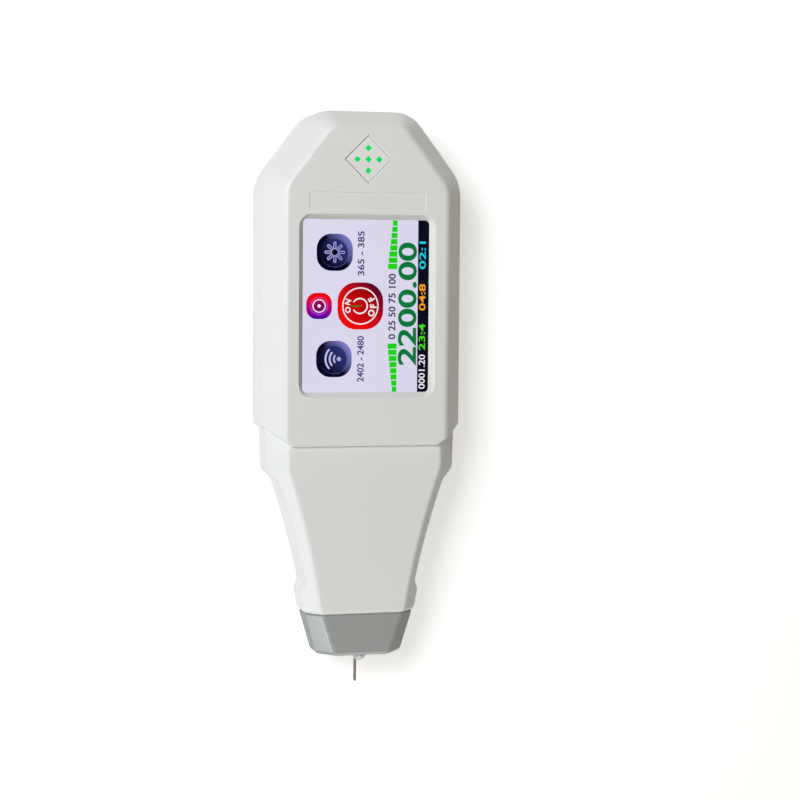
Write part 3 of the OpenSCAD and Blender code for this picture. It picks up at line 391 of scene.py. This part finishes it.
# %% Lit colours
def lit(name, hex_from, hex_to=None, start=(0, 0), angle_deg=0, span_mm=10):
    """A glowing colour, plain or fading from one hex to another along a line in the XY plane."""
    material, tree, out = start_material(name)
    place = add_node(tree, "ShaderNodeTexCoord")
    line = add_node(tree, "ShaderNodeMapping", {"vector_type": "TEXTURE"},
                    fixed={"Location": (start[0], start[1], 0), "Rotation": (0, 0, math.radians(angle_deg)),
                           "Scale": (span_mm * MM, 1, 1)}, links={"Vector": place.outputs["Object"]})
    fade = add_node(tree, "ShaderNodeTexGradient", links={"Vector": line.outputs["Vector"]})
    tone = add_node(tree, "ShaderNodeMix", {"data_type": "RGBA"},
                    fixed={"A": linear(hex_from), "B": linear(hex_to or hex_from)},
                    links={"Factor": fade.outputs["Fac"]})
    backlight = add_node(tree, "ShaderNodeTexNoise", fixed={"Scale": 1 / (25 * MM)},
                         links={"Vector": place.outputs["Object"]})
    level = add_node(tree, "ShaderNodeMapRange", fixed={"To Min": 0.96, "To Max": 1.0},
                     links={"Value": backlight.outputs["Fac"]})
    shader = add_node(tree, "ShaderNodeBsdfPrincipled",
                      fixed={"Base Color": linear("040406"), "Roughness": 0.5, "Specular IOR Level": 0.0},
                      links={"Emission Color": tone.outputs["Result"],
                             "Emission Strength": level.outputs["Result"]})
    tree.links.new(shader.outputs["BSDF"], out.inputs["Surface"])
    return material


green_guide = lit("lit green acrylic", "06E064", "00D858")
dark_polariser = moulded("dark polariser film", "10111A", "171826", 0.22, relief_mm=0.003)
print("lit:", green_guide.name)

# %% [markdown]
# ## Smooth covers and round pieces
# The CAD covers carry their rounded edges as narrow flat strips, and its cylinders are many-sided. A copy of
# each, with its loose triangles merged, is shaded smooth across those strips and sharp at real edges.
# Weighted normals keep the broad faces flat. Where a real edge catches the light, a small live bevel is
# added. The copy stands for the CAD node, and its size doesn't change.

# %% Smooth copies
MERGE_DISTANCE = 0.003 * MM
FLAT_ANGLE = math.radians(0.2)


def smooth_copy(node, piece_name, body, material, sharp_deg=32, bevel_mm=0):
    """A merged, smooth-shaded copy of a CAD node that stands for it."""
    bm = bmesh.new()
    bm.from_mesh(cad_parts[node].data)
    bmesh.ops.remove_doubles(bm, verts=bm.verts, dist=MERGE_DISTANCE)
    bmesh.ops.dissolve_limit(bm, angle_limit=FLAT_ANGLE, verts=bm.verts, edges=bm.edges)
    for face in bm.faces:
        face.smooth = True
        face.material_index = 0
    for edge in bm.edges:
        edge.smooth = len(edge.link_faces) == 2 and edge.calc_face_angle(0) < math.radians(sharp_deg)
    data = bpy.data.meshes.new(piece_name)
    bm.to_mesh(data)
    bm.free()
    data.materials.append(material)
    piece = bpy.data.objects.new(piece_name, data)
    bpy.context.collection.objects.link(piece)
    if bevel_mm:
        edge_round = piece.modifiers.new("edge_round", "BEVEL")
        edge_round.width = bevel_mm * MM
        edge_round.segments = 3
        edge_round.limit_method = "ANGLE"
        edge_round.angle_limit = math.radians(sharp_deg)
        edge_round.harden_normals = True
    weigh = piece.modifiers.new("flat_faces", "WEIGHTED_NORMAL")
    weigh.keep_sharp = True
    weigh.weight = 80
    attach(piece, body)
    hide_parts(node)
    return piece


copies = [
    smooth_copy("front_cover", "front_shell", "housing", white_abs),
    smooth_copy("rear_cover", "rear_shell", "housing", white_abs),
    smooth_copy("tip_cap", "end_cap", "housing", silver_lacquer, bevel_mm=0.35),
    smooth_copy("probe_pin", "needle", "probe", needle_alloy),
    smooth_copy("probe_bush", "needle_guide", "housing", natural_nylon, bevel_mm=0.12),
    smooth_copy("power_button", "side_key", "button", silver_lacquer, bevel_mm=0.2),
    smooth_copy("led_window", "rhombus_window", "housing", opal_acrylic, bevel_mm=0.06),
    smooth_copy("cover_screws", "back_screws", "housing", screw_steel, bevel_mm=0.1),
]
for piece in copies:
    print("copy", piece.name, len(piece.data.polygons), "faces")

# %% [markdown]
# ## Probe spring
# Behind the needle's plunger a coil spring is pressed together when the needle touches a stone. It could be
# drawn anew as a helix, but the CAD coil is right, so a smooth copy with a mesh of its own stands for it.

# %% Spring copy
coil = smooth_copy("probe_spring", "needle_spring", "housing", spring_steel)
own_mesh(coil)

# %% [markdown]
# ## Finishes of the pieces inside
# The pieces inside are right as they are in the CAD model and only get their real materials. A table of node
# and material is easier to read than two dozen assignments.

# %% Materials on CAD pieces
inside = {
    "screen_gasket": black_foam, "battery_pad": black_foam,
    "lcd_panel": dark_polariser, "lcd_tray": black_abs, "lcd_tail": flex_film,
    "light_pipes": green_guide, "indicator_leds": lamp_silicone,
    "main_board": board_mask, "tip_board": board_mask,
    "board_chips": chip_epoxy, "buzzer": chip_epoxy, "power_switch": chip_epoxy,
    "shield_can": tinned_steel, "charging_socket": tinned_steel, "board_screws": screw_steel,
    "switch_plunger": natural_nylon, "battery_plug": natural_nylon, "probe_plug": natural_nylon,
    "battery": pouch_foil, "battery_leads": red_pvc, "probe_lead": black_pvc, "tip_lead": black_pvc,
    "probe_plunger": turned_brass, "probe_sleeve": turned_brass,
}
for node, material in inside.items():
    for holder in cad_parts[node].material_slots:
        holder.material = material
print("finished", len(inside), "inner pieces")

# %% [markdown]
# ## Touch panel
# A real touch panel is a sheet of glass with ground edges. A box with a small bevel gives those edges, which
# catch the light through the opening. It is about a tenth of a millimetre thinner than the CAD solid, so that
# the picture can glow on the display just under it, with a little air between as in the real stack.

# %% Glass sheet
def new_piece(bm, name, body, materials):
    """Turns a finished bmesh into a piece that rides on a body."""
    data = bpy.data.meshes.new(name)
    bm.to_mesh(data)
    bm.free()
    for material in materials:
        data.materials.append(material)
    piece = bpy.data.objects.new(name, data)
    bpy.context.collection.objects.link(piece)
    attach(piece, body)
    return piece


AIR_GAP = 0.12 * MM
GROUND_EDGE = 0.15 * MM
glass_low, glass_high = (Vector(corner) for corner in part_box("touch_lens"))
glass_low.z += AIR_GAP
bm = bmesh.new()
bmesh.ops.create_cube(bm, size=1)
bmesh.ops.scale(bm, vec=glass_high - glass_low, verts=bm.verts)
bmesh.ops.translate(bm, vec=(glass_low + glass_high) / 2, verts=bm.verts)
bmesh.ops.bevel(bm, geom=bm.edges[:], offset=GROUND_EDGE, affect="EDGES", segments=2, profile=0.5, material=-1)
glass = new_piece(bm, "touch_glass", "housing", [panel_glass])
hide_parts("touch_lens")
print("glass", [round(v / MM, 2) for v in glass_high - glass_low], "mm")

# %% [markdown]
# ## Tools for the picture
# The display has 320 by 240 square pixels of 0.153 mm, and the picture stands sideways on it: its long side
# runs up the tester. Each part of the picture is drawn flat in those pixels, x along the long side and y
# downwards as on any screen, and one matrix then turns it onto the display. Flat meshes in thin layers keep
# every edge sharp, which a texture would not.

# %% Flat shapes in screen pixels
PIXEL = 0.153 * MM
MID_X, MID_Y = 320 / 2, 240 / 2
LAYER = 0.02 * MM
FULL_TURN = 360
glow_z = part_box("lcd_panel")[1][2]


def picture_piece(bm, name, layer, materials):
    """Turns a drawing in pixels onto the display, in a thin layer facing out, and makes it a piece."""
    corner = Vector((screen_mid.x - MID_Y * PIXEL, screen_mid.y - MID_X * PIXEL, glow_z + layer * LAYER))
    turn = Matrix.Translation(corner) @ Matrix.Rotation(math.radians(90), 4, "Z") @ Matrix.Scale(PIXEL, 4)
    bmesh.ops.transform(bm, matrix=turn, verts=bm.verts)
    bm.normal_update()
    bmesh.ops.reverse_faces(bm, faces=[face for face in bm.faces if face.normal.z < 0])
    return new_piece(bm, name, "housing", materials)


def settle(bm, shape, x, y, slot, turn_deg=0):
    """Turns and moves a shape, gives it a material and adds it to the drawing."""
    place = Matrix.Translation((x, -y, 0)) @ Matrix.Rotation(math.radians(turn_deg), 4, "Z")
    bmesh.ops.transform(shape, matrix=place, verts=shape.verts)
    for face in shape.faces:
        face.material_index = slot
    flat = bpy.data.meshes.new("flat_shape")
    shape.to_mesh(flat)
    shape.free()
    bm.from_mesh(flat)
    bpy.data.meshes.remove(flat)


def tile(bm, x, y, w, h, r, slot, turn_deg=0, reach=0):
    """A rectangle with round corners, drawn at a reach from its turning point."""
    shape = bmesh.new()
    corners = bmesh.ops.create_grid(shape, x_segments=1, y_segments=1, size=0.5)["verts"]
    bmesh.ops.scale(shape, vec=(w, h, 1), verts=corners)
    bmesh.ops.translate(shape, vec=(reach, 0, 0), verts=corners)
    if r:
        bmesh.ops.bevel(shape, geom=corners, offset=r, affect="VERTICES", segments=8, profile=0.5, material=-1)
    settle(bm, shape, x, y, slot, turn_deg)


def arc(bm, x, y, r_in, r_out, from_deg, sweep_deg, slot):
    """A flat band round a point; a full turn makes a ring."""
    shape = bmesh.new()
    ends = [shape.verts.new((r, 0, 0)) for r in (r_in, r_out)]
    line = shape.edges.new(ends)
    bmesh.ops.spin(shape, geom=ends + [line], cent=(0, 0, 0), axis=(0, 0, 1), angle=math.radians(sweep_deg),
                   steps=max(6, round(abs(sweep_deg) / 7.5)), use_merge=sweep_deg == FULL_TURN)
    settle(bm, shape, x, y, slot, from_deg)


def disc(bm, x, y, r, slot):
    """A filled circle."""
    shape = bmesh.new()
    bmesh.ops.create_circle(shape, cap_ends=True, segments=40, radius=r)
    settle(bm, shape, x, y, slot)


def flat_text(text, weight):
    """Characters as a flat shape with its lower left corner at the origin, and its width and height."""
    curve = bpy.data.curves.new("characters", "FONT")
    curve.body = text
    curve.offset = weight
    curve.resolution_u = 4
    holder = bpy.data.objects.new("characters", curve)
    bpy.context.collection.objects.link(holder)
    flat = bpy.data.meshes.new_from_object(holder.evaluated_get(bpy.context.evaluated_depsgraph_get()))
    bpy.data.objects.remove(holder)
    bpy.data.curves.remove(curve)
    shape = bmesh.new()
    shape.from_mesh(flat)
    bpy.data.meshes.remove(flat)
    low = Vector((min(v.co.x for v in shape.verts), min(v.co.y for v in shape.verts), 0))
    high = Vector((max(v.co.x for v in shape.verts), max(v.co.y for v in shape.verts), 0))
    bmesh.ops.translate(shape, vec=-low, verts=shape.verts)
    return shape, high - low


def characters(bm, text, x_from, x_to, y_top, y_base, weight, slot):
    """Characters that fill a box of pixels."""
    shape, size = flat_text(text, weight)
    fill = (x_to - x_from) / size.x, (y_base - y_top) / size.y, 1
    bmesh.ops.scale(shape, vec=fill, verts=shape.verts)
    settle(bm, shape, x_from, y_base, slot)


def ring_letters(bm, text, x, y, reach, height, step_deg, weight, slot):
    """Letters along a ring, above its middle, or below it where the reach is negative."""
    for place, letter in enumerate(text):
        shape, size = flat_text(letter, weight)
        bmesh.ops.translate(shape, vec=-size / 2, verts=shape.verts)
        bmesh.ops.scale(shape, vec=(height / size.y, height / size.y, 1), verts=shape.verts)
        bmesh.ops.translate(shape, vec=(0, reach, 0), verts=shape.verts)
        lean = (place - (len(text) - 1) / 2) * step_deg
        settle(bm, shape, x, y, slot, -lean if reach > 0 else lean)


print("display pixel", PIXEL / MM, "mm, glow at", round(glow_z / MM, 2), "mm")

# %% [markdown]
# ## Ground and dark strip
# The picture's ground is a pale lilac that reaches past the opening of the cover, with a near-black strip
# along its lower edge. Both are single tiles, the ground in the lowest layer.

# %% Picture ground
GROUND_W, GROUND_H = 328, 248
WIDE_FADE_MM = 30
bm = bmesh.new()
tile(bm, MID_X, MID_Y, GROUND_W, GROUND_H, 0, 0)
ground = picture_piece(bm, "picture_ground", 1, [
    lit("lit pale lilac", "E0DCF2", "DCD7EF", span_mm=WIDE_FADE_MM)])

bm = bmesh.new()
tile(bm, MID_X, 232.95, GROUND_W, 22.1, 0, 0)
strip = picture_piece(bm, "picture_strip", 2, [
    lit("lit night blue", "0C0F22", "080A18", span_mm=WIDE_FADE_MM)])
print(ground.name, "and", strip.name)

# %% [markdown]
# ## Touch keys on the picture
# Four square keys with very round corners are drawn on the screen: two navy, a small one that fades from red
# to violet, and a large red one. Each has a fade of its own, and a disc in the middle with a gentler one, as if
# it were sunk. The fades are placed in metres on the display, because the materials read Object coordinates.

# %% Key tiles
def display_point(x, y):
    """A pixel's place on the display, in metres."""
    return screen_mid.x + (y - MID_Y) * PIXEL, screen_mid.y + (x - MID_X) * PIXEL


def fade_at(name, x, y, size, hex_from, hex_to, angle_deg):
    """A lit colour that fades across a key of a given size."""
    mid = display_point(x, y)
    half = size / 2 * PIXEL
    aim = math.radians(angle_deg)
    start = mid[0] - half * math.cos(aim), mid[1] - half * math.sin(aim)
    return lit(name, hex_from, hex_to, start, angle_deg, size * PIXEL / MM)


SUN, WIRELESS, VIOLET, POWER = (260, 61), (61, 60.5), (160, 31.6), (160.2, 110.8)
CORNER_SHARE = 0.4
# Name, middle and size of each key, its two colours, and the angle and shift of the fade between them.
keys = [
    ("navy sun key", SUN, 69, "05031E", "8684D8", 38, 16),
    ("navy wireless key", WIRELESS, 68, "060622", "8A88DA", 36, 14),
    ("violet key", VIOLET, 49, "3600A4", "EE060E", 90, -5),
    ("red key", POWER, 88, "F20C08", "4A0022", 45, 9),
]
bm = bmesh.new()
fades = []
for name, (x, y), size, hex_from, hex_to, angle_deg, shift in keys:
    tile(bm, x, y, size, size, CORNER_SHARE * size, len(fades))
    fade_size = size - 2 * abs(shift)
    fades.append(fade_at("lit " + name, x + shift, y + shift, fade_size, hex_from, hex_to, angle_deg))
tiles = picture_piece(bm, "picture_keys", 3, fades)

bm = bmesh.new()
for slot, (middle, radius) in enumerate([(SUN, 25), (WIRELESS, 25), (VIOLET, 17), (POWER, 34)]):
    disc(bm, *middle, radius, slot)
wells = picture_piece(bm, "picture_wells", 4, [
    fade_at("lit navy sun well", *SUN, 50, "04041A", "2C3474", 38),
    fade_at("lit navy wireless well", *WIRELESS, 50, "05051C", "2E3678", 38),
    fade_at("lit violet well", 155, 31.6, 26, "5A069C", "D00832", 90),
    fade_at("lit red well", *POWER, 68, "E0040A", "96040A", 45)])
print(len(keys), "keys in", tiles.name, "and", wells.name)

# %% [markdown]
# ## Signs on the keys
# Plain signs stand on the keys: a sun of eight rays, arcs spreading from a dot, a ring with a dot, and the
# common power sign. Rays are round-ended tiles, and arcs are a short line spun round a point. The rays are
# outlines: a darker core in the next layer leaves a thin rim of each.

# %% Sun, arcs, ring and power sign
RAYS, RAY_REACH = 8, 12.5
WAVE_DOT = (61, 70)
silver, slate, pale, leaf, rose, plum = range(6)
bm = bmesh.new()
for ray in range(RAYS):
    tile(bm, *SUN, 14, 5.6, 2.7, silver, FULL_TURN / RAYS * ray, RAY_REACH)
for step in range(3):
    arc(bm, *WAVE_DOT, 8 + 8 * step, 11.5 + 8 * step, 45, 90, silver)
disc(bm, *WAVE_DOT, 4, silver)
for middle in (SUN, WIRELESS):
    arc(bm, *middle, 27, 28.2, 0, FULL_TURN, slate)
arc(bm, *VIOLET, 10.7, 12.7, 0, FULL_TURN, pale)
arc(bm, *VIOLET, 15.2, 17.2, 0, FULL_TURN, rose)
disc(bm, *VIOLET, 9.4, plum)
arc(bm, *POWER, 32.6, 35, 0, FULL_TURN, pale)
arc(bm, 160.2, 109.8, 12.7, 15.4, 120, 300, pale)
tile(bm, 160, 104.2, 2.4, 19, 0, leaf)
white = lit("lit white", "F6F3F8", "EFEAF4", span_mm=WIDE_FADE_MM)
signs = picture_piece(bm, "picture_signs", 5, [
    lit("lit silver", "CAC6F2", "9C9AD8", display_point(0, 42), 0, 7),
    lit("lit slate ring", "12123A", "5E60A6", display_point(0, 33), 0, 8.6),
    white, lit("lit leaf green", "4C7206"),
    fade_at("lit rose ring", *VIOLET, 34, "A03CF0", "FF2C7C", 90), lit("lit plum", "84085E")])

dusk, bright, black = range(3)
bm = bmesh.new()
for ray in range(RAYS):
    tile(bm, *SUN, 11.4, 3, 1.4, dusk, FULL_TURN / RAYS * ray, RAY_REACH)
disc(bm, *SUN, 4.8, black)
disc(bm, *VIOLET, 3.2, bright)
cores = picture_piece(bm, "picture_cores", 6, [
    lit("lit dusk blue", "4A4896"), white, lit("lit black", "05040C")])
print("signs:", len(signs.data.polygons), "faces, cores:", len(cores.data.polygons))

# %% [markdown]
# ## Ladder of bars
# Two rows of eight bright green bars grow towards the middle, the reading of the test. They are plain tiles
# with a gap of a pixel and a half, each a little taller than the last.

# %% Green bars
BARS, BAR_STEP, BAR_WIDTH, BAR_FOOT = 8, 11.6, 10, 181.6
LOWEST, HIGHEST = 9, 18
bm = bmesh.new()
for step in range(BARS):
    height = LOWEST + (HIGHEST - LOWEST) * step / (BARS - 1)
    for x in (315.8 - BAR_STEP * step, 3.7 + BAR_STEP * step):
        tile(bm, x, BAR_FOOT - height / 2, BAR_WIDTH, height, 0, 0)
bars = picture_piece(bm, "picture_bars", 3, [
    lit("lit bright green", "1FDA12", "14CC0E", span_mm=WIDE_FADE_MM)])
print("bars:", len(bars.data.polygons))

# %% [markdown]
# ## Figures
# The screen shows a large dark green reading, a small scale above it, two captions, four counters on the strip,
# and ON and OFF round the power sign. They could be traced as curves, but the built-in font, thickened a little
# and stretched to fill each box, is quicker and stays easy to change.

# %% Figures on the picture
CAPTION_Y = (105, 118)
COUNTER_Y = (224.5, 237)
grape, dark_grape, bottle, bright, lime, amber, cyan = range(7)
bm = bmesh.new()
characters(bm, "365 - 385", 217, 300, *CAPTION_Y, 0.021, grape)
characters(bm, "2402 - 2480", 18, 104, *CAPTION_Y, 0.021, grape)
characters(bm, "0 25 50 75 100", 98, 221, 165, 179, 0.02, dark_grape)
characters(bm, "2200.00", 48.9, 279.9, 183.6, 219.9, 0.022, bottle)
characters(bm, "0001.20", 4, 69, *COUNTER_Y, 0.012, bright)
characters(bm, "23:4", 77, 127, *COUNTER_Y, 0.014, lime)
characters(bm, "04:8", 152, 202, *COUNTER_Y, 0.014, amber)
characters(bm, "02:1", 230, 282, *COUNTER_Y, 0.014, cyan)
ring_letters(bm, "ON", *POWER, 25.2, 10.8, 34, 0.03, bright)
ring_letters(bm, "OFF", *POWER, -24.8, 12.5, 32, 0.035, bright)
figures = picture_piece(bm, "picture_figures", 5, [
    lit("lit grape", "4C467E", "443E72"), lit("lit dark grape", "3A3466", "332E5C"),
    lit("lit bottle green", "0A7E3C", "067236", span_mm=WIDE_FADE_MM), white,
    lit("lit lime", "5CF02A", "4CE41C"), lit("lit amber", "FFB428", "FFA41C"),
    lit("lit cyan", "2AE6F4", "1CD4EC")])
print("figures:", len(figures.data.polygons), "faces")

# %% [markdown]
# ## Torch lamp
# The lamp at the tip is a round-nosed one. Inside the epoxy stand two thin steel legs, and one carries
# a small cup with the chip in it. The lens could be a sphere on a cylinder, but a half profile spun round its
# axis gives nose, barrel and flange in one closed form. The cup is a cone with a hollow, pressed in with an
# inset.

# %% Torch lens and its cup
lamp_low, lamp_high = (Vector(corner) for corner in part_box("uv_led"))
lamp_mid = (lamp_low + lamp_high) / 2
lamp_length = lamp_high.y - lamp_low.y
lens_r = 1.9 * MM
flange_r = (lamp_high.x - lamp_low.x) / 2
flange_y = lamp_length - 1.0 * MM
profile = [(lens_r * math.sin(a), lens_r * (1 - math.cos(a))) for a in (math.radians(9 * i) for i in range(11))]
profile += [(lens_r, flange_y), (flange_r, flange_y), (flange_r, lamp_length), (0, lamp_length)]
bm = bmesh.new()
points = [bm.verts.new((r, y, 0)) for r, y in profile]
edges = [bm.edges.new(pair) for pair in zip(points, points[1:])]
bmesh.ops.spin(bm, geom=points + edges, cent=(0, 0, 0), axis=(0, 1, 0), angle=math.tau, steps=40,
               use_merge=True)
bmesh.ops.remove_doubles(bm, verts=bm.verts, dist=0.001 * MM)
bmesh.ops.recalc_face_normals(bm, faces=bm.faces)
bmesh.ops.translate(bm, vec=(lamp_mid.x, lamp_low.y, lamp_mid.z), verts=bm.verts)
for face in bm.faces:
    face.smooth = len(face.verts) == 4 and face.calc_area() > 0
for edge in bm.edges:
    edge.smooth = edge.calc_face_angle(0) < math.radians(35)
torch_lens = new_piece(bm, "torch_lens", "housing", [lamp_epoxy])
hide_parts("uv_led")

CUP_WALL, CUP_DEPTH, CUP_FROM_NOSE = 0.16 * MM, 0.4 * MM, 2.4 * MM
LEG_SIZE = (0.4 * MM, 1.2 * MM, 0.4 * MM)
LEG_SIDE, LEG_FROM_END = 0.6 * MM, 0.65 * MM
bm = bmesh.new()
bmesh.ops.create_cone(bm, cap_ends=True, segments=24, radius1=0.55 * MM, radius2=0.95 * MM, depth=0.8 * MM)
mouth = max(bm.faces, key=lambda face: face.calc_center_median().z)
bmesh.ops.inset_region(bm, faces=[mouth], thickness=CUP_WALL)
bmesh.ops.translate(bm, vec=(0, 0, -CUP_DEPTH), verts=mouth.verts)
bmesh.ops.scale(bm, vec=(0.6, 0.6, 1), verts=mouth.verts)
bmesh.ops.rotate(bm, cent=(0, 0, 0), matrix=Matrix.Rotation(math.radians(90), 3, "X"), verts=bm.verts)
bmesh.ops.translate(bm, vec=(lamp_mid.x, lamp_low.y + CUP_FROM_NOSE, lamp_mid.z), verts=bm.verts)
for side in (-LEG_SIDE, LEG_SIDE):
    leg = bmesh.ops.create_cube(bm, size=1)["verts"]
    bmesh.ops.scale(bm, vec=LEG_SIZE, verts=leg)
    bmesh.ops.translate(bm, vec=(lamp_mid.x + side, lamp_high.y - LEG_FROM_END, lamp_mid.z), verts=leg)
torch_cup = new_piece(bm, "torch_cup", "housing", [tinned_steel])
print("torch lens", len(torch_lens.data.polygons), "faces, cup", len(torch_cup.data.polygons))
